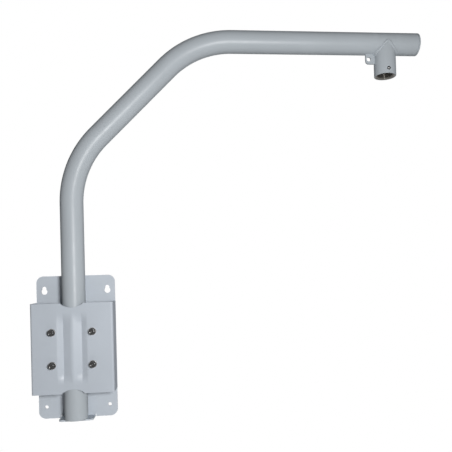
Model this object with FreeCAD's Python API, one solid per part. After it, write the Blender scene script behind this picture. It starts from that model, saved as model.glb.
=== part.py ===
import FreeCAD, Part
import math
import os

os.makedirs("parts", exist_ok=True)

# Parapet mount bracket: a bent tube arm, clamped to a wall plate, that holds a camera over a wall.
# Sizes are in millimetres. X runs along the wall, Y into the wall and Z up.
# The origin is the centre of the wall plate's back face.

# Arm tube
tube_od = 60.0
tube_wall = 2.5
upright_run = 564.0
slant_run = 260.0
arm_run = 518.0
bend_radius = 250.0
bend_angle = 45.0

# Wall plate, one laser-cut sheet with a shelf folded out of its bottom edge
plate_width = 205.0
plate_height = 378.0
plate_sheet = 4.0
plate_corner = 18.0
wall_hole_spacing = 165.0
wall_hole_d = 9.5
wall_hole_edge = 30.5
key_head_d = 16.0
key_slot_width = 11.5
key_slot_edge = 33.0
key_travel = 8.0
shelf_width = 88.0
shelf_reach = 40.0
shelf_corner = 9.0
shelf_fold = 1.5
relief_width = 1.5
relief_over = 2.0

# Clamp plate, one folded sheet with a pressed vee that holds the tube
clamp_width = 208.0
clamp_height = 232.0
clamp_sheet = 2.5
clamp_rise = 3.0
clamp_fold = 3.0
flange_gap = 4.0
vee_slope = 19.5
vee_half_width = 23.2
groove_width = 14.4
vee_length = 127.0
vee_fade = 32.0
shoulder_round = 8.0
groove_round = 1.2
crest_round = 14.0
fade_steps = 4
least_depth = 0.04
notch_radius = 32.0
notch_depth = 11.5
notch_lip = 3.0

# Clearances between the arm and what clamps it
clamp_gap = 0.08
face_gap = 0.3
foot_gap = 0.1

# Clamp fasteners, size M10
bolt_spacing_x = 102.0
bolt_spacing_z = 84.0
bolt_d = 10.0
bolt_length = 70.0
head_d = 16.0
head_height = 10.0
head_chamfer = 0.8
hex_key = 8.0
hex_depth = 5.0
bolt_hole_d = 11.0
washer_od = 20.0
washer_thickness = 2.0
washer_bore = 10.5
spring_od = 18.1
spring_bore = 10.3
spring_thickness = 2.2
spring_split = 1.6
split_lean = 25.0
nut_across_flats = 17.0
nut_height = 8.0
nut_chamfer = 1.0
nut_collar_d = 12.4
nut_collar_height = 1.5
collar_gap = 0.1
thread_gap = 0.05

# Camera socket and what is on it
socket_from_end = 88.0
socket_drop = 90.5
socket_od = 60.0
socket_tip_trim = 1.5
thread_d = 47.8
thread_length = 32.0
socket_bore = 44.8
mouth_flare = 3.4
mouth_round = 1.0
weld_gap = 0.05
weld_size = 3.4
weld_rise = 3.0
cable_hole_d = 40.0
screw_d = 10.0
screw_length = 5.4
screw_rise = 13.7
screw_sunk = 0.4
screw_key = 5.0
screw_key_depth = 3.0

# Safety lug, a small plate in the corner of the arm and the socket
lug_sheet = 5.0
lug_hole_d = 12.0
lug_hole_x = 46.6
lug_hole_drop = 43.3
lug_side = 3.0
lug_below = 7.5
lug_corner = 9.0

# End cap, a turned plug welded into the arm's end
cap_thickness = 6.0
cap_round = 2.2
cap_groove_width = 1.2
cap_groove_depth = 1.6
cap_spigot = 12.0
cap_spigot_gap = 0.1

# Places that follow from the sizes
tube_r = tube_od / 2
bore_r = tube_r - tube_wall
axis_y = -(plate_sheet + clamp_gap + tube_r)
plate_bottom = -plate_height / 2
plate_top = plate_height / 2
shelf_top = plate_bottom + plate_sheet
foot_z = shelf_top + foot_gap
clamp_low = clamp_rise - clamp_height / 2
clamp_high = clamp_rise + clamp_height / 2
slope = math.radians(vee_slope)
apex_inner_y = axis_y - (tube_r + clamp_gap) / math.cos(slope)
apex_outer_y = apex_inner_y - clamp_sheet / math.cos(slope)
face_inner_y = axis_y - tube_r - face_gap
face_outer_y = face_inner_y - clamp_sheet
crest_rise = face_outer_y - apex_outer_y
groove_depth = vee_half_width * math.tan(slope) - crest_rise
turn = math.radians(bend_angle)

X = FreeCAD.Vector(1, 0, 0)
Y = FreeCAD.Vector(0, 1, 0)
Z = FreeCAD.Vector(0, 0, 1)


def vec(x, y, z):
    return FreeCAD.Vector(x, y, z)


def cylinder(radius, start, direction, length):
    return Part.makeCylinder(radius, length, start, direction)


def prism(edges, direction):
    """A solid that a closed outline sweeps along a direction."""
    return Part.Face(Part.Wire(edges)).extrude(direction)


def fillet_corner(before, corner, after, radius):
    """Start, middle and end of the arc that rounds a corner."""
    back = (before - corner).normalize()
    ahead = (after - corner).normalize()
    half = back.getAngle(ahead) / 2
    reach = radius / math.tan(half)
    middle_line = (back + ahead).normalize()
    centre = corner + middle_line * (radius / math.sin(half))
    return corner + back * reach, centre - middle_line * radius, corner + ahead * reach


def rounded_path(points, radii):
    """Edges of an open path whose inner corners are rounded."""
    edges = []
    start = points[0]
    for i in range(1, len(points) - 1):
        first, middle, last = fillet_corner(points[i - 1], points[i], points[i + 1], radii[i - 1])
        edges.append(Part.LineSegment(start, first).toShape())
        edges.append(Part.Arc(first, middle, last).toShape())
        start = last
    edges.append(Part.LineSegment(start, points[-1]).toShape())
    return edges


def rounded_loop(points, radii):
    """Edges of a closed outline with a radius at each point, where 0 keeps it sharp."""
    arcs = []
    count = len(points)
    for i, radius in enumerate(radii):
        if radius > 0:
            arcs.append(fillet_corner(points[i - 1], points[i], points[(i + 1) % count], radius))
        else:
            arcs.append((points[i], None, points[i]))
    edges = []
    for i, (first, middle, last) in enumerate(arcs):
        if middle is not None:
            edges.append(Part.Arc(first, middle, last).toShape())
        after = arcs[(i + 1) % count][0]
        if not last.isEqual(after, 1e-6):
            edges.append(Part.LineSegment(last, after).toShape())
    return edges


def hexagon(across_flats, centre, direction, height):
    """A hexagonal prism with its axis along Y."""
    corner_r = across_flats / math.sqrt(3)
    points = []
    for i in range(6):
        angle = math.radians(60 * i)
        points.append(centre + X * (corner_r * math.cos(angle)) + Z * (corner_r * math.sin(angle)))
    points.append(points[0])
    return Part.Face(Part.makePolygon(points)).extrude(direction * height)


def single(shape):
    """The one solid in a shape, with its split faces joined."""
    shape = shape.removeSplitter()
    if len(shape.Solids) != 1:
        raise ValueError("a piece came out as %d solids" % len(shape.Solids))
    return shape.Solids[0]


def save(name, shape):
    solid = single(shape)
    if not solid.isValid():
        raise ValueError(name + " isn't valid")
    solid.exportStep("parts/" + name + ".step")
    box = solid.BoundBox
    print("%-28s volume %10.1f  x %.2f..%.2f  y %.2f..%.2f  z %.2f..%.2f" % (
        name, solid.Volume, box.XMin, box.XMax, box.YMin, box.YMax, box.ZMin, box.ZMax))


# Wall plate

def plate_blank():
    """The flat sheet with round corners."""
    half = plate_width / 2
    corners = [vec(-half, 0, plate_bottom), vec(half, 0, plate_bottom),
               vec(half, 0, plate_top), vec(-half, 0, plate_top)]
    return prism(rounded_loop(corners, [plate_corner] * 4), Y * -plate_sheet)


def keyhole(x):
    """A hole that a screw head passes, under a slot that the screw hangs in."""
    slot_z = plate_top - key_slot_edge
    head_z = slot_z - key_travel
    start = Y * 1.0
    through = plate_sheet + 2.0
    head = cylinder(key_head_d / 2, vec(x, 0, head_z) + start, -Y, through)
    end = cylinder(key_slot_width / 2, vec(x, 0, slot_z) + start, -Y, through)
    slot = Part.makeBox(key_slot_width, through, key_travel,
                        vec(x - key_slot_width / 2, 1.0 - through, head_z))
    return head.fuse([end, slot])


def shelf():
    """The folded tab that the foot of the tube stands on."""
    fold_outer = shelf_fold + plate_sheet
    half = shelf_width / 2
    front = -plate_sheet - shelf_reach
    section = [
        vec(-half, 0, plate_bottom + fold_outer),
        vec(-half, 0, plate_bottom),
        vec(-half, front, plate_bottom),
        vec(-half, front, shelf_top),
        vec(-half, -plate_sheet, shelf_top),
        vec(-half, -plate_sheet, plate_bottom + fold_outer),
    ]
    tab = prism(rounded_loop(section, [0, fold_outer, 0, 0, shelf_fold, 0]), X * shelf_width)
    corners = [vec(-half, 0, 0), vec(-half, front, 0), vec(half, front, 0), vec(half, 0, 0)]
    outline = prism(rounded_loop(corners, [0, shelf_corner, shelf_corner, 0]), Z * plate_height)
    outline.translate(Z * (plate_bottom - plate_height / 2))
    return tab.common(outline)


def wall_plate():
    plate = plate_blank()
    fold_top = plate_sheet + shelf_fold
    half = shelf_width / 2
    window = Part.makeBox(shelf_width + 2 * relief_width, plate_sheet + 2.0, fold_top + relief_over + 1.0,
                          vec(-half - relief_width, -plate_sheet - 1.0, plate_bottom - 1.0))
    tongue = Part.makeBox(shelf_width, plate_sheet, relief_over + 1.0,
                          vec(-half, -plate_sheet, plate_bottom + fold_top))
    plate = plate.cut(window).fuse([tongue, shelf()])
    cutters = []
    for side in (-1, 1):
        x = side * wall_hole_spacing / 2
        cutters.append(keyhole(x))
        low = vec(x, 1.0, plate_bottom + wall_hole_edge)
        cutters.append(cylinder(wall_hole_d / 2, low, -Y, plate_sheet + 2.0))
    for x, z in bolt_places():
        cutters.append(cylinder(nut_collar_d / 2 + collar_gap, vec(x, 1.0, z), -Y, plate_sheet + 2.0))
    return plate.cut(cutters)


# Clamp plate

def clamp_section(depth, z):
    """The folded sheet's section at a height, with its pressing at a share of its full depth."""
    half = clamp_width / 2
    rear = -plate_sheet - flange_gap
    groove_edge = vee_half_width + groove_width
    groove_y = face_outer_y + groove_depth * depth
    crest_y = face_outer_y - crest_rise * depth
    front = [(-half, rear), (-half, face_outer_y), (-groove_edge, face_outer_y), (-vee_half_width, groove_y),
             (0, crest_y), (vee_half_width, groove_y), (groove_edge, face_outer_y), (half, face_outer_y),
             (half, rear)]
    front = [vec(x, y, z) for x, y in front]
    back = offset_left(front, clamp_sheet)
    pressed = [shoulder_round, groove_round, crest_round, groove_round, shoulder_round]
    inside = [clamp_fold] + pressed + [clamp_fold]
    front_radii = []
    back_radii = []
    for i, radius in enumerate(inside):
        before, corner, after = front[i], front[i + 1], front[i + 2]
        if (corner - before).cross(after - corner).z > 0:
            front_radii.append(radius + clamp_sheet)
            back_radii.append(radius)
        else:
            front_radii.append(radius)
            back_radii.append(radius + clamp_sheet)
    edges = rounded_path(front, front_radii)
    edges.append(Part.LineSegment(front[-1], back[-1]).toShape())
    edges += rounded_path(back[::-1], back_radii[::-1])
    edges.append(Part.LineSegment(back[0], front[0]).toShape())
    return Part.Wire(edges)


def offset_left(points, distance):
    """An open path moved to its left by a distance, with its corners mitred."""
    ways = [(points[i + 1] - points[i]).normalize() for i in range(len(points) - 1)]
    lefts = [Z.cross(way) for way in ways]
    moved = [points[0] + lefts[0] * distance]
    for i in range(1, len(points) - 1):
        middle = (lefts[i - 1] + lefts[i]).normalize()
        moved.append(points[i] + middle * (distance / middle.dot(lefts[i])))
    moved.append(points[-1] + lefts[-1] * distance)
    return moved


def notch(edge_z, inward):
    """The round bite in the clamp's edge that clears the tube, with rounded lips."""
    centre_z = edge_z + inward * (notch_depth - notch_radius)
    rise = abs(edge_z - centre_z)
    lip_x = math.sqrt((notch_radius + notch_lip) ** 2 - (rise - notch_lip) ** 2)
    lip = vec(lip_x, 0, edge_z + inward * notch_lip)
    join = lip + (vec(0, 0, centre_z) - lip).normalize() * notch_lip
    mirror = vec(-join.x, 0, join.z)
    bottom = vec(0, 0, edge_z + inward * notch_depth)
    top_right = vec(lip_x, 0, edge_z)
    top_left = vec(-lip_x, 0, edge_z)
    out = Z * (-inward * notch_depth)
    lip_mid = lip + ((top_right - lip).normalize() + (join - lip).normalize()).normalize() * notch_lip
    lip_mid_left = vec(-lip_mid.x, 0, lip_mid.z)
    edges = [
        Part.Arc(top_left, lip_mid_left, mirror).toShape(),
        Part.Arc(mirror, bottom, join).toShape(),
        Part.Arc(join, lip_mid, top_right).toShape(),
        Part.LineSegment(top_right, top_right + out).toShape(),
        Part.LineSegment(top_right + out, top_left + out).toShape(),
        Part.LineSegment(top_left + out, top_left).toShape(),
    ]
    cutter = prism(edges, Y * (2 * abs(apex_outer_y)))
    cutter.translate(Y * (2 * apex_outer_y))
    return cutter


def fade_section(share, side):
    """The section at a share of the way along the fade above (1) or below (-1) the pressing's full depth."""
    depth = least_depth + (1 - least_depth) * (1 + math.cos(math.pi * share)) / 2
    return clamp_section(depth, clamp_rise + side * (vee_length / 2 + vee_fade * share))


def clamp_plate():
    middle = Part.Face(clamp_section(1.0, clamp_rise - vee_length / 2)).extrude(Z * vee_length)
    spans = []
    for side, edge_z in ((-1, clamp_low), (1, clamp_high)):
        fade = [fade_section(i / fade_steps, side) for i in range(fade_steps + 1)]
        spans.append(Part.makeLoft(fade, True, False))
        end_z = clamp_rise + side * (vee_length / 2 + vee_fade)
        spans.append(Part.Face(fade[-1]).extrude(Z * (edge_z - end_z)))
    sheet = middle.fuse(spans)
    cutters = [notch(clamp_high, -1), notch(clamp_low, 1)]
    for x, z in bolt_places():
        cutters.append(cylinder(bolt_hole_d / 2, vec(x, apex_outer_y - 1.0, z), Y, clamp_sheet + head_height))
    return sheet.cut(cutters)


# Clamp fasteners

def bolt_places():
    places = []
    for z in (clamp_rise + bolt_spacing_z / 2, clamp_rise - bolt_spacing_z / 2):
        for x in (-bolt_spacing_x / 2, bolt_spacing_x / 2):
            places.append((x, z))
    return places


def clamp_bolt(x, z):
    """A socket-head screw whose head bears on the spring washer."""
    seat = vec(x, face_outer_y - washer_thickness - spring_thickness, z)
    head = cylinder(head_d / 2, seat, -Y, head_height)
    outer_edges = [edge for edge in head.Edges if edge.BoundBox.YMax < seat.y - head_height / 2
                   and edge.Curve.TypeId == "Part::GeomCircle"]
    head = head.makeChamfer(head_chamfer, outer_edges)
    shank = cylinder(bolt_d / 2, seat, Y, bolt_length)
    tip_edges = [edge for edge in shank.Edges if edge.BoundBox.YMin > seat.y + bolt_length / 2
                 and edge.Curve.TypeId == "Part::GeomCircle"]
    shank = shank.makeChamfer(head_chamfer, tip_edges)
    socket = hexagon(hex_key, seat - Y * head_height, Y, hex_depth)
    return head.fuse(shank).cut(socket)


def flat_washer(x, z):
    start = vec(x, face_outer_y, z)
    disc = cylinder(washer_od / 2, start, -Y, washer_thickness)
    return disc.cut(cylinder(washer_bore / 2, start + Y, -Y, washer_thickness + 2.0))


def spring_washer(x, z):
    """A split ring, pressed flat by the bolt, with a slanting cut."""
    start = vec(x, face_outer_y - washer_thickness, z)
    ring = cylinder(spring_od / 2, start, -Y, spring_thickness)
    ring = ring.cut(cylinder(spring_bore / 2, start + Y, -Y, spring_thickness + 2.0))
    split = Part.makeBox(spring_split, 3 * spring_thickness, spring_od)
    split.translate(vec(x - spring_split / 2, start.y - 2 * spring_thickness, z))
    split.rotate(start - Y * (spring_thickness / 2), Z, split_lean)
    return ring.cut(split)


def weld_nut(x, z):
    """A hexagon nut welded to the plate's front, with a collar that centres it in its hole."""
    seat = vec(x, -plate_sheet, z)
    body = hexagon(nut_across_flats, seat, -Y, nut_height)
    corner_r = nut_across_flats / math.sqrt(3)
    cone = Part.makeCone(corner_r - nut_chamfer + nut_height, corner_r - nut_chamfer, nut_height, seat, -Y)
    body = body.common(cone)
    collar = cylinder(nut_collar_d / 2, seat, Y, nut_collar_height)
    bore = cylinder(bolt_d / 2 + thread_gap, seat + Y * (nut_collar_height + 1.0), -Y,
                    nut_height + nut_collar_height + 2.0)
    return body.fuse(collar).cut(bore)


# Arm

def arm_route():
    """Where each run of the tube starts, and its direction."""
    foot = vec(0, axis_y, foot_z)
    bend_1 = foot + Z * upright_run
    slant_way = vec(math.sin(turn), 0, math.cos(turn))
    slant_start = bend_1 + X * (bend_radius * (1 - math.cos(turn))) + Z * (bend_radius * math.sin(turn))
    bend_2 = slant_start + slant_way * slant_run
    arm_way = vec(math.sin(2 * turn), 0, math.cos(2 * turn))
    centre_2 = bend_2 + vec(math.cos(turn), 0, -math.sin(turn)) * bend_radius
    arm_start = centre_2 + vec(-math.cos(2 * turn), 0, math.sin(2 * turn)) * bend_radius
    return foot, bend_1, slant_start, slant_way, bend_2, centre_2, arm_start, arm_way


foot_point, bend_1_point, slant_point, slant_dir, bend_2_point, centre_2_point, arm_point, arm_dir = arm_route()
arm_end = arm_point + arm_dir * arm_run
arm_z = arm_point.z
socket_x = arm_end.x - socket_from_end
mouth_z = arm_z - socket_drop
socket_axis = vec(socket_x, axis_y, arm_z)


def arm_line():
    """The tube's centre line: three runs joined by two bends."""
    centre_1 = bend_1_point + X * bend_radius
    middle_1 = centre_1 + vec(-math.cos(turn / 2), 0, math.sin(turn / 2)) * bend_radius
    middle_2 = centre_2_point + vec(-math.cos(1.5 * turn), 0, math.sin(1.5 * turn)) * bend_radius
    return Part.Wire([
        Part.LineSegment(foot_point, bend_1_point).toShape(),
        Part.Arc(bend_1_point, middle_1, slant_point).toShape(),
        Part.LineSegment(slant_point, bend_2_point).toShape(),
        Part.Arc(bend_2_point, middle_2, arm_point).toShape(),
        Part.LineSegment(arm_point, arm_end).toShape(),
    ])


def swept_tube(radius):
    """A round bar bent along the arm's centre line."""
    profile = Part.Wire(Part.makeCircle(radius, foot_point, Z))
    return arm_line().makePipeShell([profile], True, True)


def arm_tube():
    bar = swept_tube(tube_r)
    foot_edges = [edge for edge in bar.Edges if edge.BoundBox.ZMax < foot_z + tube_wall]
    tube = bar.makeChamfer(shelf_fold, foot_edges).cut(swept_tube(bore_r))
    return tube.cut(cylinder(cable_hole_d / 2, socket_axis, -Z, tube_od))


def end_cap():
    """A turned plug: a spigot in the bore, a thin groove at the tube's end and a rounded rim."""
    disc_start = arm_end + X * cap_groove_width
    disc = cylinder(tube_r, disc_start, X, cap_thickness - cap_groove_width)
    outer = [edge for edge in disc.Edges if edge.Curve.TypeId == "Part::GeomCircle"
             and edge.CenterOfMass.x > arm_end.x + cap_thickness / 2]
    disc = disc.makeFillet(cap_round, outer)
    neck = cylinder(tube_r - cap_groove_depth, arm_end, X, 2 * cap_groove_width)
    spigot = cylinder(bore_r - cap_spigot_gap, arm_end - X * cap_spigot, X, cap_spigot + cap_groove_width)
    return disc.fuse([neck, spigot])


def camera_socket():
    """A thick tube, coped to sit on the arm and tapped from its mouth."""
    mouth = vec(socket_x, axis_y, mouth_z)
    outer_r = socket_od / 2
    body = cylinder(outer_r, mouth, Z, socket_drop - socket_tip_trim)
    mouth_edges = [edge for edge in body.Edges if edge.BoundBox.ZMax < mouth_z + 1.0
                   and edge.Curve.TypeId == "Part::GeomCircle"]
    body = body.makeFillet(mouth_round, mouth_edges)
    body = body.cut(cylinder(socket_bore / 2, mouth - Z, Z, socket_drop + 1.0))
    body = body.cut(cylinder(thread_d / 2, mouth - Z, Z, thread_length + 1.0))
    flare_r = thread_d / 2 + mouth_flare
    body = body.cut(Part.makeCone(flare_r, 0, flare_r, mouth, Z))
    arm = cylinder(tube_r + weld_gap, socket_axis - X * tube_od, X, 2 * tube_od)
    body = body.cut(arm)
    screw_hole = cylinder(screw_d / 2 + thread_gap, vec(socket_x, axis_y, mouth_z + screw_rise), -Y, tube_od)
    return body.cut(screw_hole)


def socket_weld():
    """The weld that fills the corner between the arm and the socket."""
    below = Part.makeBox(2 * tube_od, 2 * tube_od, tube_od + weld_rise,
                         socket_axis + vec(-tube_od, -tube_od, -tube_od))
    around_arm = cylinder(tube_r + weld_gap + weld_size, socket_axis - X * tube_od, X, 2 * tube_od)
    around_socket = cylinder(socket_od / 2 + weld_size, socket_axis - Z * tube_od, Z, 2 * tube_od)
    bead = around_arm.common(around_socket).common(below)
    bead = bead.cut(cylinder(tube_r + weld_gap, socket_axis - X * tube_od, X, 2 * tube_od))
    return bead.cut(cylinder(socket_od / 2 + weld_gap, socket_axis - Z * 2 * tube_od, Z, 2 * tube_od))


def safety_lug():
    """A plate with a hole for the camera's safety cord."""
    hole = socket_axis + vec(-lug_hole_x, 0, -lug_hole_drop)
    reach = lug_hole_d / 2 + lug_side
    low = hole.z - lug_hole_d / 2 - lug_below
    left = hole.x - reach
    corners = [vec(left, 0, arm_z), vec(left, 0, low), vec(socket_x, 0, low), vec(socket_x, 0, arm_z)]
    plate = prism(rounded_loop(corners, [0, lug_corner, 0, 0]), Y * lug_sheet)
    plate.translate(Y * (axis_y - lug_sheet / 2))
    arm_start = socket_axis - X * 2 * tube_od
    socket_start = socket_axis - Z * 2 * tube_od
    weld_room = weld_size + 2 * weld_gap
    weld = cylinder(tube_r + weld_room, arm_start, X, 4 * tube_od)
    weld = weld.common(cylinder(socket_od / 2 + weld_room, socket_start, Z, 4 * tube_od))
    return plate.cut([
        weld,
        cylinder(tube_r + weld_gap, arm_start, X, 4 * tube_od),
        cylinder(socket_od / 2 + weld_gap, socket_start, Z, 4 * tube_od),
        cylinder(lug_hole_d / 2, hole - Y * tube_od, Y, 2 * tube_od),
    ])


def set_screw():
    """A headless screw that locks the camera's pipe in the socket."""
    outside = vec(socket_x, axis_y - socket_od / 2 + screw_sunk, mouth_z + screw_rise)
    body = cylinder(screw_d / 2, outside, Y, screw_length)
    return body.cut(hexagon(screw_key, outside, Y, screw_key_depth))


save("wall_plate", wall_plate())
save("clamp_plate", clamp_plate())
for name, (bolt_x, bolt_z) in zip(("upper_left", "upper_right", "lower_left", "lower_right"), bolt_places()):
    save("clamp_bolt_" + name, clamp_bolt(bolt_x, bolt_z))
    save("spring_washer_" + name, spring_washer(bolt_x, bolt_z))
    save("flat_washer_" + name, flat_washer(bolt_x, bolt_z))
    save("weld_nut_" + name, weld_nut(bolt_x, bolt_z))
save("arm_tube", arm_tube())
save("end_cap", end_cap())
save("camera_socket", camera_socket())
save("socket_weld", socket_weld())
save("safety_lug", safety_lug())
save("set_screw", set_screw())
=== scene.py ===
import math

import bpy
from mathutils import Matrix, Vector, noise as lumps


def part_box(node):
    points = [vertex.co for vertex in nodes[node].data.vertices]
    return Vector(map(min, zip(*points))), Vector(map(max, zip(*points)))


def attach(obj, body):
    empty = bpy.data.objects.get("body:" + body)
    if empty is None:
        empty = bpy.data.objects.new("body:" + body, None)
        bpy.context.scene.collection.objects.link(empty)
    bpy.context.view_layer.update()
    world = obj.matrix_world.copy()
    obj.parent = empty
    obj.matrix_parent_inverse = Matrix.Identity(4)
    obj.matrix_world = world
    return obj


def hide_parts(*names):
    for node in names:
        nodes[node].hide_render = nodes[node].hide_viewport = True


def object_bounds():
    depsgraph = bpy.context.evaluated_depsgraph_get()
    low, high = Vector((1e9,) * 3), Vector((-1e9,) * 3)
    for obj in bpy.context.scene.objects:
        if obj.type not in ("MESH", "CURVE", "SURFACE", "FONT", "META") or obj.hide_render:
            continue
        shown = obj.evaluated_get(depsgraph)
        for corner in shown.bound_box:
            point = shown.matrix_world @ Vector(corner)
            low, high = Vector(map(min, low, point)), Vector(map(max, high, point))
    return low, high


# Looks of a parapet mount bracket: pale powder coat on the tube and the plates, dark steel on the screws.
# Everything is in metres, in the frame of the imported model.

MM = 0.001

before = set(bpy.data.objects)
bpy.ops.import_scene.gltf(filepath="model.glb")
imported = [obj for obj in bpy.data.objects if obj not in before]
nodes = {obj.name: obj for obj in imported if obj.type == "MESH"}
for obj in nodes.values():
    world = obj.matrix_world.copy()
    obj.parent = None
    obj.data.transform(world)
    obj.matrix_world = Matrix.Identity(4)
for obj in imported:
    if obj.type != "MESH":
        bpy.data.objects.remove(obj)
cad_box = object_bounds()
ARM = "swan_neck_arm"
BRACKET = "wall_bracket"
CORNERS = ("upper_left", "upper_right", "lower_left", "lower_right")

# Camera, placed as the photograph's outline asks
CAMERA_PLACE = Vector((0.28796, -1.4672, 0.19096))
CAMERA_YAW = -5.664
CAMERA_PITCH = 0.763
CAMERA_ROLL = -1.559
SENSOR = 36.0
LENS = 42.385
SHIFT_X = -0.0221
SHIFT_Y = 0.0828

# Light
LAMP_PLACE = Vector((0.6, -1.54, 0.26))
LAMP_AIM = Vector((0.2, 0.0, 0.24))
LAMP_SIZE = 0.4
LAMP_POWER = 20.9
FILL_BASE = 0.02
FILL_BACK = 14.0
FILL_RIGHT = 0.2
FILL_LEFT = 0.5
FILL_TOP = 0.15
FILL_EDGE = 0.75
FILL_BACK_EDGE = 0.95

# Floor, below and behind which the studio is plain white
FLOOR_DROP = 0.56
FLOOR_CENTRE = (0.3, -0.55)
FLOOR_RADIUS = 1.6
FLOOR_AROUND = 96
FLOOR_COLOR = (0.8, 0.8, 0.79)
FLOOR_MOTTLE = 0.97
FLOOR_MOTTLE_SCALE = 3.0
FLOOR_ROUGHNESS = 0.8
FLOOR_GLOW = 0.6
FLOOR_FADE = 0.6
FLOOR_FADE_END = 0.98

# Middle parts of a noise, which are spread over the whole range
NOISE_MIDDLE = (0.35, 0.65)
NOISE_WIDE = (0.3, 0.7)

# Paint, whose gloss is whole up to one slope to the viewer and gone from another
TUBE_COLOR = (0.452, 0.491, 0.524)
# The clamp's and the wall plate's colours are the tube's one coat made lighter: painted light, which
# brightens the plates against the tube.
CLAMP_PAINTED_LIGHT_COLOR = (0.502, 0.545, 0.6)
PLATE_PAINTED_LIGHT_COLOR = (0.554, 0.6, 0.656)
PAINT_ROUGHNESS = 0.35
PAINT_SPECULAR = 0.25
GLOSS_KEPT = 0.25
GLOSS_GONE = 0.52
GLOSS_SCALE = 60.0
GLOSS_SPREAD = (-0.03, 0.04)
PEEL_SCALE = 900.0
PEEL_HEIGHT = 0.03 * MM
WELD_PEEL_HEIGHT = 0.08 * MM
DRIFT_SCALE = 9.0
DRIFT_SHADES = (0.975, 1.02)
FLECK_SCALE = 1400.0
FLECK_EDGES = (0.62, 0.8)
FLECK_STRENGTH = 0.5
FLECK_SHADE = 0.9

# Steel
BLOTCH_SCALE = 420.0
BLOTCH_SHADES = (0.8, 1.15)
RUB_SCALE = 900.0
RUB_SPREAD = (0.8, 1.25)
GRAIN_SCALE = 2500.0
GRAIN_HEIGHT = 0.008 * MM

# Smallest ring, at the middle of a closed end
POINT_R = 0.05 * MM

# Angles in degrees, from which an edge is shaded as sharp
SCREW_SHARP = 35
ARM_SHARP = 40

# Arm, as in the solids
UPRIGHT_RUN = 0.564
SLANT_RUN = 0.26
ARM_RUN = 0.518
BEND_R = 0.25
BEND_ANGLE = math.radians(45.0)
TUBE_R = 30.0 * MM
TUBE_BORE_R = 27.5 * MM
FOOT_CHAMFER = 1.5 * MM
CABLE_HOLE_R = 20.0 * MM
TUBE_AROUND = 144
BEND_STEPS = 60
RUN_STEP = 12.0 * MM
HOLE_STEPS = 24
HOLE_HALF_COLUMNS = 12
HOLE_MARGIN = 1.0 * MM
LEVEL = 0.999
ROUNDING = 1e-9

# Clamp screws; the rim and the foot of the head are depths with how far the side stands back there
SCREW_AROUND = 72
HEAD_AROUND = 240
HEAD_R = 8.0 * MM
HEAD_HEIGHT = 10.0 * MM
HEAD_RIM = ((0.0, 0.9 * MM), (0.3 * MM, 0.45 * MM), (0.8 * MM, 0.2 * MM))
HEAD_FOOT = ((9.2 * MM, 0.2 * MM), (9.8 * MM, 0.35 * MM), (HEAD_HEIGHT, 0.6 * MM))
HEAD_TEETH = 60
TOOTH_DEPTH = 0.22 * MM
TEETH_DEPTHS = (1.1 * MM, 5.0 * MM, 8.8 * MM)
KEY_FLATS = 8.0 * MM
KEY_DEPTH = 5.0 * MM
KEY_CONE = 0.9 * MM
KEY_CONE_R = 3.7 * MM
KEY_EDGE = 0.45 * MM
KEY_EDGE_R = 4.8 * MM
SHANK_R = 4.95 * MM
SCREW_PITCH = 1.5 * MM
SCREW_THREAD = 36.0 * MM
SCREW_CUT = 0.9 * MM
SCREW_TIP = 0.9 * MM
SCREW_TURN_STEPS = 8

# Shape of a thread: how steep its flanks are and how wide its flats
THREAD_SLOPE = 1.3
THREAD_FLAT = 0.15

# Thread in the camera socket
SOCKET_PITCH = 2.309 * MM
SOCKET_ROOT_R = 23.86 * MM
SOCKET_CREST_R = 22.45 * MM
SOCKET_THREAD = 28.0 * MM
SOCKET_AROUND = 160
SOCKET_TURN_STEPS = 10
FLARE_R = 27.25 * MM
FLARE_DEPTH = 3.4 * MM
FLARE_STEPS = 6

# Lock screw in the socket's front
LOCK_R = 5.0 * MM
LOCK_CHAMFER = 1.2 * MM
LOCK_GAP = 0.05 * MM
LOCK_TAIL = 0.9 * MM
LOCK_TAIL_GAP = 0.02 * MM
LOCK_KEY = 3.4 * MM
LOCK_KEY_DEPTH = 1.0 * MM
LOCK_KEY_EDGE = 0.3 * MM
LOCK_KEY_FLARE = 1.25
KEY_FLOOR_GAP = 0.02 * MM

# Welds, which wander in width, height and place
BEAD_AROUND = 18
BEAD_HALF = 3.9 * MM
BEAD_RISE = 2.1 * MM
COIN_PITCH = 3.6 * MM
COIN_HEIGHT = 0.9 * MM
COIN_BOW = 1.8 * MM
WANDER_SCALE = 0.09
WANDER_HALF = 0.16
WANDER_RISE = 0.12
SHIFT = 0.4 * MM
SHIFT_SCALE = 0.06
SHIFT_SEED = Vector((5.0, 5.0, 5.0))
END_LEAST = 0.02
END_TAPER = 12
BEAD_STEPS = 1000
APEX_ROUND = 0.12
APEX_RISE = 0.75
APEX_POWER = 8
CORNER_LIFT = 0.9 * MM
LUG_BEAD_SCALE = 0.5
LUG_BEAD_STEPS = 120
LUG_BEAD_INSET = 1.0 * MM
NUT_HEIGHT = 8.0 * MM
TACKS = 3
TACK_R = 2.6 * MM
TACK_RISE = 1.7 * MM
TACK_STRETCH = 1.3
TACK_RINGS = 8
TACK_AROUND = 24
TACK_SWELL = 0.12
TACK_SWELL_SCALE = 0.8


# Materials

def new_material(name):
    material = bpy.data.materials.new(name)
    material.use_nodes = True
    return material, material.node_tree.nodes, material.node_tree.links


def node(tree_nodes, kind, **values):
    made = tree_nodes.new(kind)
    for key, value in values.items():
        setattr(made, key, value)
    return made


def noise(tree_nodes, links, coords, scale, detail, roughness=0.5):
    made = node(tree_nodes, "ShaderNodeTexNoise")
    made.inputs["Scale"].default_value = scale
    made.inputs["Detail"].default_value = detail
    made.inputs["Roughness"].default_value = roughness
    links.new(coords, made.inputs["Vector"])
    return made.outputs["Fac"]


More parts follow.
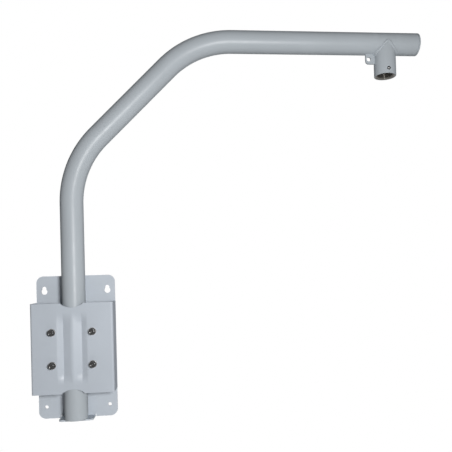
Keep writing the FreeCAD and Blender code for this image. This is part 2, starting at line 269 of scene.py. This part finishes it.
def spread(tree_nodes, links, value, low, high, out_low=0.0, out_high=1.0):
    made = node(tree_nodes, "ShaderNodeMapRange")
    made.inputs["From Min"].default_value = low
    made.inputs["From Max"].default_value = high
    made.inputs["To Min"].default_value = out_low
    made.inputs["To Max"].default_value = out_high
    links.new(value, made.inputs["Value"])
    return made.outputs["Result"]


def blend_color(tree_nodes, links, factor, first, second):
    """A mix of two colours, for which the node has its own sockets, 6 and 7 in and 2 out."""
    made = node(tree_nodes, "ShaderNodeMix", data_type="RGBA")
    for socket, color in ((made.inputs[6], first), (made.inputs[7], second)):
        if isinstance(color, tuple):
            socket.default_value = (*color, 1.0)
        else:
            links.new(color, socket)
    links.new(factor, made.inputs["Factor"])
    return made.outputs[2]


def scaled(color, factor):
    return tuple(min(1.0, part * factor) for part in color)


def bump(tree, links, shader, height, distance):
    made = node(tree, "ShaderNodeBump")
    made.inputs["Strength"].default_value = 1.0
    made.inputs["Distance"].default_value = distance
    links.new(height, made.inputs["Height"])
    links.new(made.outputs["Normal"], shader.inputs["Normal"])


def paint(name, color, peel_height=PEEL_HEIGHT):
    """Pale satin powder coat: fine orange peel, slight drifts of tone and gloss, dull towards its limbs."""
    material, tree, links = new_material(name)
    shader = tree["Principled BSDF"]
    coords = node(tree, "ShaderNodeTexCoord").outputs["Object"]
    drift = noise(tree, links, coords, DRIFT_SCALE, 3.0)
    fleck = noise(tree, links, coords, FLECK_SCALE, 2.0)
    dark, light = [scaled(color, shade) for shade in DRIFT_SHADES]
    tone = blend_color(tree, links, spread(tree, links, drift, *NOISE_MIDDLE), dark, light)
    flecks = spread(tree, links, fleck, *FLECK_EDGES, 0.0, FLECK_STRENGTH)
    tone = blend_color(tree, links, flecks, tone, scaled(color, FLECK_SHADE))
    links.new(tone, shader.inputs["Base Color"])
    gloss = noise(tree, links, coords, GLOSS_SCALE, 3.0)
    low, high = [PAINT_ROUGHNESS + part for part in GLOSS_SPREAD]
    links.new(spread(tree, links, gloss, *NOISE_WIDE, low, high), shader.inputs["Roughness"])
    bump(tree, links, shader, noise(tree, links, coords, PEEL_SCALE, 2.0), peel_height)
    slope = node(tree, "ShaderNodeLayerWeight").outputs["Facing"]
    links.new(spread(tree, links, slope, GLOSS_KEPT, GLOSS_GONE, PAINT_SPECULAR, 0.0),
              shader.inputs["Specular IOR Level"])
    return material


def steel(name, color, roughness):
    """Zinc, blackened or bare steel: metal with fine blotches and handling marks."""
    material, tree, links = new_material(name)
    shader = tree["Principled BSDF"]
    coords = node(tree, "ShaderNodeTexCoord").outputs["Object"]
    blotch = noise(tree, links, coords, BLOTCH_SCALE, 4.0)
    dark, light = [scaled(color, shade) for shade in BLOTCH_SHADES]
    tone = blend_color(tree, links, spread(tree, links, blotch, *NOISE_MIDDLE), dark, light)
    links.new(tone, shader.inputs["Base Color"])
    rub = noise(tree, links, coords, RUB_SCALE, 3.0)
    low, high = [roughness * part for part in RUB_SPREAD]
    links.new(spread(tree, links, rub, *NOISE_WIDE, low, high), shader.inputs["Roughness"])
    bump(tree, links, shader, noise(tree, links, coords, GRAIN_SCALE, 2.0), GRAIN_HEIGHT)
    shader.inputs["Metallic"].default_value = 1.0
    return material


coat = paint("tube_coat", TUBE_COLOR)
# The clamp and the wall plate get lighter copies of the tube's coat, as painted light.
clamp_coat_painted_light = paint("clamp_coat_painted_light", CLAMP_PAINTED_LIGHT_COLOR)
plate_coat_painted_light = paint("plate_coat_painted_light", PLATE_PAINTED_LIGHT_COLOR)
weld_coat = paint("weld_coat", TUBE_COLOR, WELD_PEEL_HEIGHT)
bolt_steel = steel("bolt_steel", (0.06, 0.06, 0.06), 0.2)
washer_steel = steel("washer_zinc", (0.36, 0.36, 0.36), 0.34)
thread_steel = steel("oiled_thread", (0.13, 0.125, 0.115), 0.25)
black_steel = steel("black_oxide", (0.012, 0.012, 0.012), 0.3)
bright_steel = steel("bright_steel", (0.85, 0.85, 0.85), 0.3)


def dress(name, material):
    mesh = nodes[name].data
    mesh.materials.clear()
    mesh.materials.append(material)


for name in nodes:
    if name.startswith(("clamp_bolt", "spring_washer")) or name == "set_screw":
        dress(name, bolt_steel)
    elif name.startswith("flat_washer"):
        dress(name, washer_steel)
    # The clamp, the wall plate and its nuts wear the lighter copies of the tube's coat, which are painted
    # light.
    elif name == "clamp_plate":
        dress(name, clamp_coat_painted_light)
    elif name == "wall_plate" or name.startswith("weld_nut"):
        dress(name, plate_coat_painted_light)
    else:
        dress(name, coat)


# Pieces

def make_piece(name, points, faces, material, body, sharp_angle=None):
    """A smooth mesh object that rides on a body of the frame."""
    mesh = bpy.data.meshes.new(name)
    mesh.from_pydata(points, [], faces)
    mesh.update()
    mesh.shade_smooth()
    if sharp_angle is not None:
        mesh.set_sharp_from_angle(angle=math.radians(sharp_angle))
    mesh.materials.append(material)
    piece = bpy.data.objects.new(name, mesh)
    bpy.context.scene.collection.objects.link(piece)
    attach(piece, body)
    return piece


def join_rows(rows, first=0, ring=False):
    """Faces between rows of points that each close on themselves.

    A ring also joins the last row to the first.
    """
    count = len(rows[0])
    total = len(rows)
    faces = []
    for i in range(total if ring else total - 1):
        below = first + i * count
        above = first + (i + 1) % total * count
        for j in range(count):
            k = (j + 1) % count
            faces.append((below + j, above + j, above + k, below + k))
    return faces


def flatten(rows):
    return [point for row in rows for point in row]


def middle_of(name):
    low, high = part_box(name)
    return (Vector(low) + Vector(high)) / 2


def thread_cut(share):
    """How deep a thread is cut at a share of its pitch: 0 on the flat crest, 1 in the flat root."""
    return min(1.0, max(0.0, abs(2 * (share % 1.0) - 1) * THREAD_SLOPE - THREAD_FLAT))


def hexagon_radius(angle, across_flats):
    return across_flats / 2 / math.cos(angle % (math.pi / 3) - math.pi / 6)


def round_row(centre, depth, count, radius_at):
    """Points round a line along Y; radius_at gives the radius at an angle."""
    row = []
    for j in range(count):
        angle = 2 * math.pi * j / count
        radius = radius_at(angle)
        row.append(centre + Vector((radius * math.cos(angle), depth, radius * math.sin(angle))))
    return row


def head_rows(centre):
    """A socket head from the bottom of its key hole, over the rim and down its knurled side."""
    def circle(radius):
        return lambda angle: radius

    def key(angle):
        return hexagon_radius(angle, KEY_FLATS)

    def knurled(angle):
        return HEAD_R - TOOTH_DEPTH * (1 - abs(math.sin(angle * HEAD_TEETH / 2)))

    profile = [
        (KEY_DEPTH + KEY_CONE, circle(POINT_R)),
        (KEY_DEPTH, circle(KEY_CONE_R)),
        (KEY_DEPTH, key),
        (KEY_EDGE, key),
        (0.0, circle(KEY_EDGE_R)),
    ]
    profile += [(depth, circle(HEAD_R - back)) for depth, back in HEAD_RIM]
    profile += [(depth, knurled) for depth in TEETH_DEPTHS]
    profile += [(depth, circle(HEAD_R - back)) for depth, back in HEAD_FOOT]
    profile.append((HEAD_HEIGHT, circle(SHANK_R)))
    return [round_row(centre, depth, HEAD_AROUND, radius_at) for depth, radius_at in profile]


def shank_rows(centre, length):
    """A plain shank that turns into a rolled thread, with a chamfered tip."""
    start = length - SCREW_THREAD
    rows = [round_row(centre, depth, SCREW_AROUND, lambda angle: SHANK_R) for depth in (HEAD_HEIGHT, start)]
    steps = int(SCREW_THREAD / SCREW_PITCH * SCREW_TURN_STEPS)
    for i in range(1, steps):
        depth = start + SCREW_THREAD * i / steps
        fade = min(1.0, (depth - start) / SCREW_PITCH)
        tip = max(0.0, depth - (length - SCREW_TIP))

        def threaded(angle):
            cut = SCREW_CUT * fade * thread_cut(depth / SCREW_PITCH - angle / (2 * math.pi))
            return min(SHANK_R - cut, SHANK_R - tip)

        rows.append(round_row(centre, depth, SCREW_AROUND, threaded))
    rows.append(round_row(centre, length, SCREW_AROUND, lambda angle: SHANK_R - SCREW_CUT))
    rows.append(round_row(centre, length, SCREW_AROUND, lambda angle: POINT_R))
    return rows


def clamp_screw(corner):
    """A socket-head screw with a knurled head and a real thread."""
    name = "clamp_bolt_" + corner
    low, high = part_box(name)
    top = middle_of(name)
    top.y = low[1]
    head = head_rows(top)
    shank = shank_rows(top, high[1] - low[1])
    points = flatten(head) + flatten(shank)
    faces = join_rows(head) + join_rows(shank, first=len(head) * HEAD_AROUND)
    piece = make_piece("screw_" + corner, points, faces, bolt_steel, BRACKET, SCREW_SHARP)
    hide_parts(name)


def arm_line(foot, hole_x):
    """Places along the arm's centre line with their direction, and dense places over the cable hole."""
    line = []
    place = foot.copy()
    lean = 0.0
    for run, bends in ((UPRIGHT_RUN, True), (SLANT_RUN, True), (ARM_RUN, False)):
        way = Vector((math.sin(lean), 0.0, math.cos(lean)))
        count = round(run / RUN_STEP)
        steps = [run * i / count for i in range(count + (0 if bends else 1))]
        if not bends:
            before = hole_x - CABLE_HOLE_R - place.x
            over_hole = [before + CABLE_HOLE_R * (1 - math.cos(math.pi * i / HOLE_STEPS))
                         for i in range(HOLE_STEPS + 1)]
            clear = [step for step in steps
                     if abs(step - before - CABLE_HOLE_R) > CABLE_HOLE_R + HOLE_MARGIN]
            steps = sorted(clear + over_hole)
        line += [(place + way * step, way) for step in steps]
        place = place + way * run
        if bends:
            centre = place + Vector((math.cos(lean), 0.0, -math.sin(lean))) * BEND_R
            for i in range(BEND_STEPS):
                tilt = lean + BEND_ANGLE * i / BEND_STEPS
                spot = centre - Vector((math.cos(tilt), 0.0, -math.sin(tilt))) * BEND_R
                line.append((spot, Vector((math.sin(tilt), 0.0, math.cos(tilt)))))
            lean += BEND_ANGLE
            place = centre - Vector((math.cos(lean), 0.0, -math.sin(lean))) * BEND_R
    return line


def tube_row(place, way, radius, half_hole):
    """A ring of points round the tube, whose first columns to both sides of the underside span the hole."""
    under = Vector((way.z, 0.0, -way.x))
    side = Vector((0.0, 1.0, 0.0))
    edge = math.pi * HOLE_HALF_COLUMNS * 2 / TUBE_AROUND
    if half_hole is not None:
        edge = math.asin(half_hole / radius)
    row = []
    for j in range(TUBE_AROUND):
        column = j if j <= TUBE_AROUND // 2 else j - TUBE_AROUND
        if abs(column) <= HOLE_HALF_COLUMNS:
            angle = edge * abs(column) / HOLE_HALF_COLUMNS
        else:
            share = (abs(column) - HOLE_HALF_COLUMNS) / (TUBE_AROUND / 2 - HOLE_HALF_COLUMNS)
            angle = edge + (math.pi - edge) * share
        angle = math.copysign(angle, column)
        row.append(place + (under * math.cos(angle) + side * math.sin(angle)) * radius)
    return row


def arm_skin():
    """The bent tube as a fine mesh: outside, bore, both ends and the cable hole over the socket."""
    low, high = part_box("arm_tube")
    foot = Vector((low[0] + TUBE_R, (low[1] + high[1]) / 2, low[2]))
    hole_x = middle_of("camera_socket").x
    line = arm_line(foot, hole_x)
    line.insert(1, (foot + Vector((0.0, 0.0, FOOT_CHAMFER)), Vector((0.0, 0.0, 1.0))))
    outside, inside, open_rows = [], [], []
    for i, (place, way) in enumerate(line):
        reach = CABLE_HOLE_R ** 2 - (place.x - hole_x) ** 2
        over_hole = way.x > LEVEL and reach > -ROUNDING
        half_hole = math.sqrt(max(0.0, reach)) if over_hole else None
        open_rows.append(over_hole)
        outside.append(tube_row(place, way, TUBE_R - (FOOT_CHAMFER if i == 0 else 0.0), half_hole))
        inside.append(tube_row(place, way, TUBE_BORE_R, half_hole))
    total = len(line)
    skin = total * TUBE_AROUND
    faces = []
    for i in range(total - 1):
        hole_here = open_rows[i] and open_rows[i + 1]
        for j in range(TUBE_AROUND):
            k = (j + 1) % TUBE_AROUND
            if hole_here and (j < HOLE_HALF_COLUMNS or j >= TUBE_AROUND - HOLE_HALF_COLUMNS):
                continue
            a, b = i * TUBE_AROUND, (i + 1) * TUBE_AROUND
            faces.append((a + j, a + k, b + k, b + j))
            faces.append((skin + a + j, skin + b + j, skin + b + k, skin + a + k))
        if hole_here:
            for j, turned in ((HOLE_HALF_COLUMNS, False), (TUBE_AROUND - HOLE_HALF_COLUMNS, True)):
                a, b = i * TUBE_AROUND + j, (i + 1) * TUBE_AROUND + j
                rim = (a, b, skin + b, skin + a)
                faces.append(rim[::-1] if turned else rim)
    last = (total - 1) * TUBE_AROUND
    for j in range(TUBE_AROUND):
        k = (j + 1) % TUBE_AROUND
        faces.append((j, skin + j, skin + k, k))
        faces.append((last + j, last + k, skin + last + k, skin + last + j))
    piece = make_piece("arm_skin", flatten(outside) + flatten(inside), faces, coat, ARM, ARM_SHARP)
    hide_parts("arm_tube")


def lock_screw():
    """The headless screw in the socket's front: chamfered rim, flat face, key hole with a bright floor."""
    low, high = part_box("set_screw")
    centre = middle_of("set_screw")
    centre.y = low[1]
    length = high[1] - low[1]
    rim = LOCK_R - LOCK_GAP
    profile = [
        (length - LOCK_TAIL_GAP, POINT_R, False),
        (length - LOCK_TAIL_GAP, rim - LOCK_TAIL, False),
        (length - LOCK_TAIL, rim, False),
        (LOCK_CHAMFER, rim, False),
        (LOCK_GAP, rim - LOCK_CHAMFER, False),
        (LOCK_GAP, LOCK_KEY / 2 * LOCK_KEY_FLARE, False),
        (LOCK_KEY_EDGE, LOCK_KEY, True),
        (LOCK_KEY_DEPTH, LOCK_KEY, True),
    ]
    rows = []
    for depth, size, is_key in profile:
        if is_key:
            rows.append(round_row(centre, depth, SCREW_AROUND, lambda angle: hexagon_radius(angle, size)))
        else:
            rows.append(round_row(centre, depth, SCREW_AROUND, lambda angle: size))
    piece = make_piece("lock_screw", flatten(rows), join_rows(rows), black_steel, ARM,
                       SCREW_SHARP)
    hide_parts("set_screw")
    floor = []
    for share in (0.0, 0.5, 1.0):
        depth = LOCK_KEY_DEPTH - LOCK_GAP * (1 - share)
        floor.append(round_row(centre, depth, SCREW_AROUND,
                               lambda angle: share * hexagon_radius(angle, LOCK_KEY) + KEY_FLOOR_GAP))
    make_piece("lock_screw_key_floor", flatten(floor), join_rows(floor), bright_steel, ARM)


def socket_thread():
    """The flare and the tapped stretch inside the socket's mouth."""
    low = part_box("camera_socket")[0]
    axis = middle_of("camera_socket")
    steps = int(SOCKET_THREAD / SOCKET_PITCH * SOCKET_TURN_STEPS)
    profile = [(FLARE_DEPTH * i / FLARE_STEPS, 0.0) for i in range(FLARE_STEPS)]
    for i in range(steps + 1):
        fade = min(1.0, 2 * i / steps * SOCKET_THREAD / SOCKET_PITCH)
        profile.append((FLARE_DEPTH + SOCKET_THREAD * i / steps, fade))
    rows = []
    for rise, fade in profile:
        row = []
        wall = max(SOCKET_ROOT_R, FLARE_R - rise)
        for j in range(SOCKET_AROUND):
            angle = 2 * math.pi * j / SOCKET_AROUND
            ridge = 1 - thread_cut(rise / SOCKET_PITCH - angle / (2 * math.pi))
            radius = wall - (SOCKET_ROOT_R - SOCKET_CREST_R) * fade * ridge
            row.append(Vector((axis.x + radius * math.cos(angle),
                               axis.y + radius * math.sin(angle), low[2] + rise)))
        rows.append(row)
    make_piece("socket_thread", flatten(rows), join_rows(rows), thread_steel, ARM)


def bead_end(i, total):
    """How full an open bead is at a place: it narrows towards both ends."""
    swell = math.sqrt(max(END_LEAST, math.sin(math.pi * i / (total - 1))))
    return swell * min(1.0, END_TAPER * i / total, END_TAPER * (total - 1 - i) / total)


def bead(name, places, tops, lifts, size, ring):
    """A weld laid along a route: ripples like fallen coins, with a width that wanders a little."""
    rows = []
    run = 0.0
    total = len(places)
    for i, (place, top, lift) in enumerate(zip(places, tops, lifts)):
        before = places[i - 1] if ring or i else place
        after = places[(i + 1) % total] if ring or i < total - 1 else place
        side = (after - before).normalized().cross(top).normalized()
        run += (place - places[i - 1]).length if i else 0.0
        end = 1.0 if ring else bead_end(i, total)
        wander = lumps.noise(place / MM * WANDER_SCALE)
        half = size * end * BEAD_HALF * (1 + WANDER_HALF * wander)
        rise = size * end * BEAD_RISE * (1 + WANDER_RISE * wander)
        shift = size * SHIFT * lumps.noise(place / MM * SHIFT_SCALE + SHIFT_SEED)
        row = []
        for j in range(BEAD_AROUND):
            turn = 2 * math.pi * j / BEAD_AROUND
            across, up = math.cos(turn), math.sin(turn)
            coin = (run - size * COIN_BOW * (1 - across * across)) / (size * COIN_PITCH)
            ripple = size * end * COIN_HEIGHT * (abs(math.sin(math.pi * coin)) - 0.5) * max(0.0, up)
            row.append(place + side * (shift + half * across) + top * (lift + rise * up + ripple))
        rows.append(row)
    return make_piece(name, flatten(rows), join_rows(rows, ring=ring), weld_coat, ARM)


def socket_bead():
    """The weld round the socket, which follows the line where the two equal tubes meet."""
    arm_axis_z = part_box("end_cap")[0][2] + TUBE_R
    axis = middle_of("socket_weld")
    places, tops, lifts = [], [], []
    for i in range(BEAD_STEPS):
        angle = 2 * math.pi * i / BEAD_STEPS
        c, s = math.cos(angle), math.sin(angle)
        drop = math.hypot(c, APEX_ROUND) - APEX_RISE * APEX_ROUND * s ** APEX_POWER
        places.append(Vector((axis.x + TUBE_R * c, axis.y + TUBE_R * s, arm_axis_z - TUBE_R * drop)))
        tops.append(Vector((c, 2 * s, -abs(c))).normalized())
        lifts.append(CORNER_LIFT * c * c)
    piece = bead("socket_bead", places, tops, lifts, 1.0, True)
    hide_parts("socket_weld")


def lug_bead(side, name, start, end, away):
    """A small weld on one face of the lug, where it meets the arm or the socket."""
    count = LUG_BEAD_STEPS
    places = [start.lerp(end, i / (count - 1)) for i in range(count)]
    top = (Vector((0.0, side, 0.0)) + away).normalized()
    bead(name, places, [top] * count, [CORNER_LIFT * LUG_BEAD_SCALE] * count, LUG_BEAD_SCALE, False)


def lug_beads():
    """The lug's welds, on both faces: one to the arm above it, one to the socket beside it."""
    low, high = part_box("safety_lug")
    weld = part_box("socket_weld")[0]
    down = Vector((0.0, 0.0, -1.0))
    outward = Vector((-1.0, 0.0, 0.0))
    for side, y, where in ((-1.0, low[1], "front"), (1.0, high[1], "back")):
        tip = Vector((low[0] + LUG_BEAD_INSET, y, high[2]))
        lug_bead(side, "lug_bead_" + where, tip, Vector((weld[0], y, high[2])), down)
        foot = Vector((high[0], y, low[2] + LUG_BEAD_INSET))
        lug_bead(side, "lug_side_bead_" + where, Vector((high[0], y, weld[2])), foot, outward)


def nut_tacks(corner):
    """Three small weld spots that hold a nut to the wall plate."""
    low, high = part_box("weld_nut_" + corner)
    middle = middle_of("weld_nut_" + corner)
    corner_r = (high[0] - low[0]) / 2
    seat_y = low[1] + NUT_HEIGHT
    points, faces = [], []
    for i in range(TACKS):
        angle = math.radians(360 / TACKS * i)
        out = Vector((math.cos(angle), 0.0, math.sin(angle)))
        along = out.cross(Vector((0.0, 1.0, 0.0)))
        centre = Vector((middle.x, seat_y, middle.z)) + out * corner_r
        rows = []
        for k in range(TACK_RINGS + 1):
            tilt = math.pi / 2 * k / TACK_RINGS
            rise = Vector((0.0, TACK_RISE * math.cos(tilt), 0.0))
            row = []
            for j in range(TACK_AROUND):
                turn = 2 * math.pi * j / TACK_AROUND
                flat = out * math.cos(turn) + along * (TACK_STRETCH * math.sin(turn))
                point = centre + flat * (TACK_R * math.sin(tilt)) - rise
                swell = 1 + TACK_SWELL * lumps.noise(point / MM * TACK_SWELL_SCALE)
                row.append(centre + (point - centre) * swell)
            rows.append(row)
        faces += join_rows(rows, first=len(points))
        points += flatten(rows)
    make_piece("nut_tacks_" + corner, points, faces, weld_coat, BRACKET)


for corner in CORNERS:
    clamp_screw(corner)
    nut_tacks(corner)
socket_thread()
socket_bead()
lug_beads()
lock_screw()
arm_skin()


# Stage

def arithmetic(tree, links, operation, first, second):
    made = node(tree, "ShaderNodeMath", operation=operation)
    links.new(first, made.inputs[0])
    links.new(second, made.inputs[1])
    return made.outputs[0]


def seen_rays(tree, links):
    """1 for rays that look at the background: from the camera, in a gloss or through glass."""
    paths = node(tree, "ShaderNodeLightPath")
    seen = paths.outputs["Is Camera Ray"]
    for other in ("Is Glossy Ray", "Is Transmission Ray"):
        seen = arithmetic(tree, links, "MAXIMUM", seen, paths.outputs[other])
    return seen


def make_floor():
    """A plain pale floor below the camera's own view of the bracket, which fades to white at its rim."""
    centre = (*FLOOR_CENTRE, cad_box[0][2] - FLOOR_DROP)
    points = []
    for i in range(FLOOR_AROUND):
        angle = 2 * math.pi * i / FLOOR_AROUND
        points.append((centre[0] + FLOOR_RADIUS * math.cos(angle),
                       centre[1] + FLOOR_RADIUS * math.sin(angle), centre[2]))
    mesh = bpy.data.meshes.new("floor")
    mesh.from_pydata(points, [], [tuple(range(FLOOR_AROUND))])
    material, tree, links = new_material("floor")
    shader = tree["Principled BSDF"]
    coords = node(tree, "ShaderNodeTexCoord").outputs["Object"]
    away = node(tree, "ShaderNodeVectorMath", operation="DISTANCE")
    links.new(coords, away.inputs[0])
    away.inputs[1].default_value = centre
    rim = spread(tree, links, away.outputs["Value"],
                 FLOOR_RADIUS * FLOOR_FADE, FLOOR_RADIUS * FLOOR_FADE_END)
    mottle = noise(tree, links, coords, FLOOR_MOTTLE_SCALE, 3.0)
    tone = blend_color(tree, links, mottle, FLOOR_COLOR, scaled(FLOOR_COLOR, FLOOR_MOTTLE))
    links.new(blend_color(tree, links, rim, tone, (0.0, 0.0, 0.0)), shader.inputs["Base Color"])
    shader.inputs["Roughness"].default_value = FLOOR_ROUGHNESS
    shader.inputs["Specular IOR Level"].default_value = 0.0
    shader.inputs["Emission Color"].default_value = (1.0, 1.0, 1.0, 1.0)
    glow = spread(tree, links, rim, 0.0, 1.0, FLOOR_GLOW, 1.0)
    seen_glow = arithmetic(tree, links, "MULTIPLY", seen_rays(tree, links), glow)
    links.new(seen_glow, shader.inputs["Emission Strength"])
    mesh.materials.append(material)
    floor = bpy.data.objects.new("floor", mesh)
    bpy.context.scene.collection.objects.link(floor)


def white_background(tree, links, strength):
    made = node(tree, "ShaderNodeBackground")
    made.inputs["Color"].default_value = (1.0, 1.0, 1.0, 1.0)
    if isinstance(strength, float):
        made.inputs["Strength"].default_value = strength
    else:
        links.new(strength, made.inputs["Strength"])
    return made.outputs[0]


def mix_shaders(tree, links, factor, first, second):
    made = node(tree, "ShaderNodeMixShader")
    links.new(factor, made.inputs[0])
    links.new(first, made.inputs[1])
    links.new(second, made.inputs[2])
    return made.outputs[0]


def make_world():
    """White for the camera and in the gloss, and a dim fill for the light, brightest from behind."""
    world = bpy.data.worlds.new("studio")
    world.use_nodes = True
    bpy.context.scene.world = world
    tree, links = world.node_tree.nodes, world.node_tree.links
    tree.clear()
    way = node(tree, "ShaderNodeSeparateXYZ")
    links.new(node(tree, "ShaderNodeTexCoord").outputs["Generated"], way.inputs[0])
    fill = spread(tree, links, way.outputs["Y"], FILL_BACK_EDGE, 1.0, FILL_BASE, FILL_BACK)
    for axis, low, high, strength in (("X", 0.0, 1.0, FILL_RIGHT), ("X", -FILL_EDGE, -1.0, FILL_LEFT),
                                      ("Z", FILL_EDGE, 1.0, FILL_TOP)):
        side = spread(tree, links, way.outputs[axis], low, high, 0.0, strength)
        fill = arithmetic(tree, links, "ADD", fill, side)
    whole = mix_shaders(tree, links, seen_rays(tree, links), white_background(tree, links, fill),
                        white_background(tree, links, 1.0))
    links.new(whole, node(tree, "ShaderNodeOutputWorld").inputs["Surface"])


def make_lamp():
    data = bpy.data.lights.new("soft_box", "AREA")
    data.shape = "DISK"
    data.size = LAMP_SIZE
    data.energy = LAMP_POWER
    lamp = bpy.data.objects.new("soft_box", data)
    bpy.context.scene.collection.objects.link(lamp)
    lamp.location = LAMP_PLACE
    lamp.rotation_mode = "QUATERNION"
    lamp.rotation_quaternion = (LAMP_AIM - LAMP_PLACE).to_track_quat("-Z", "Y")


def make_camera():
    data = bpy.data.cameras.new("camera")
    data.sensor_width = SENSOR
    data.lens = LENS
    data.shift_x = SHIFT_X
    data.shift_y = SHIFT_Y
    camera = bpy.data.objects.new("camera", data)
    bpy.context.scene.collection.objects.link(camera)
    turn = (Matrix.Rotation(math.radians(CAMERA_YAW), 4, "Z")
            @ Matrix.Rotation(math.radians(90.0 + CAMERA_PITCH), 4, "X")
            @ Matrix.Rotation(math.radians(CAMERA_ROLL), 4, "Z"))
    camera.matrix_world = Matrix.Translation(CAMERA_PLACE) @ turn
    bpy.context.scene.camera = camera


make_floor()
make_world()
make_lamp()
make_camera()
bpy.context.scene.view_settings.view_transform = "Standard"
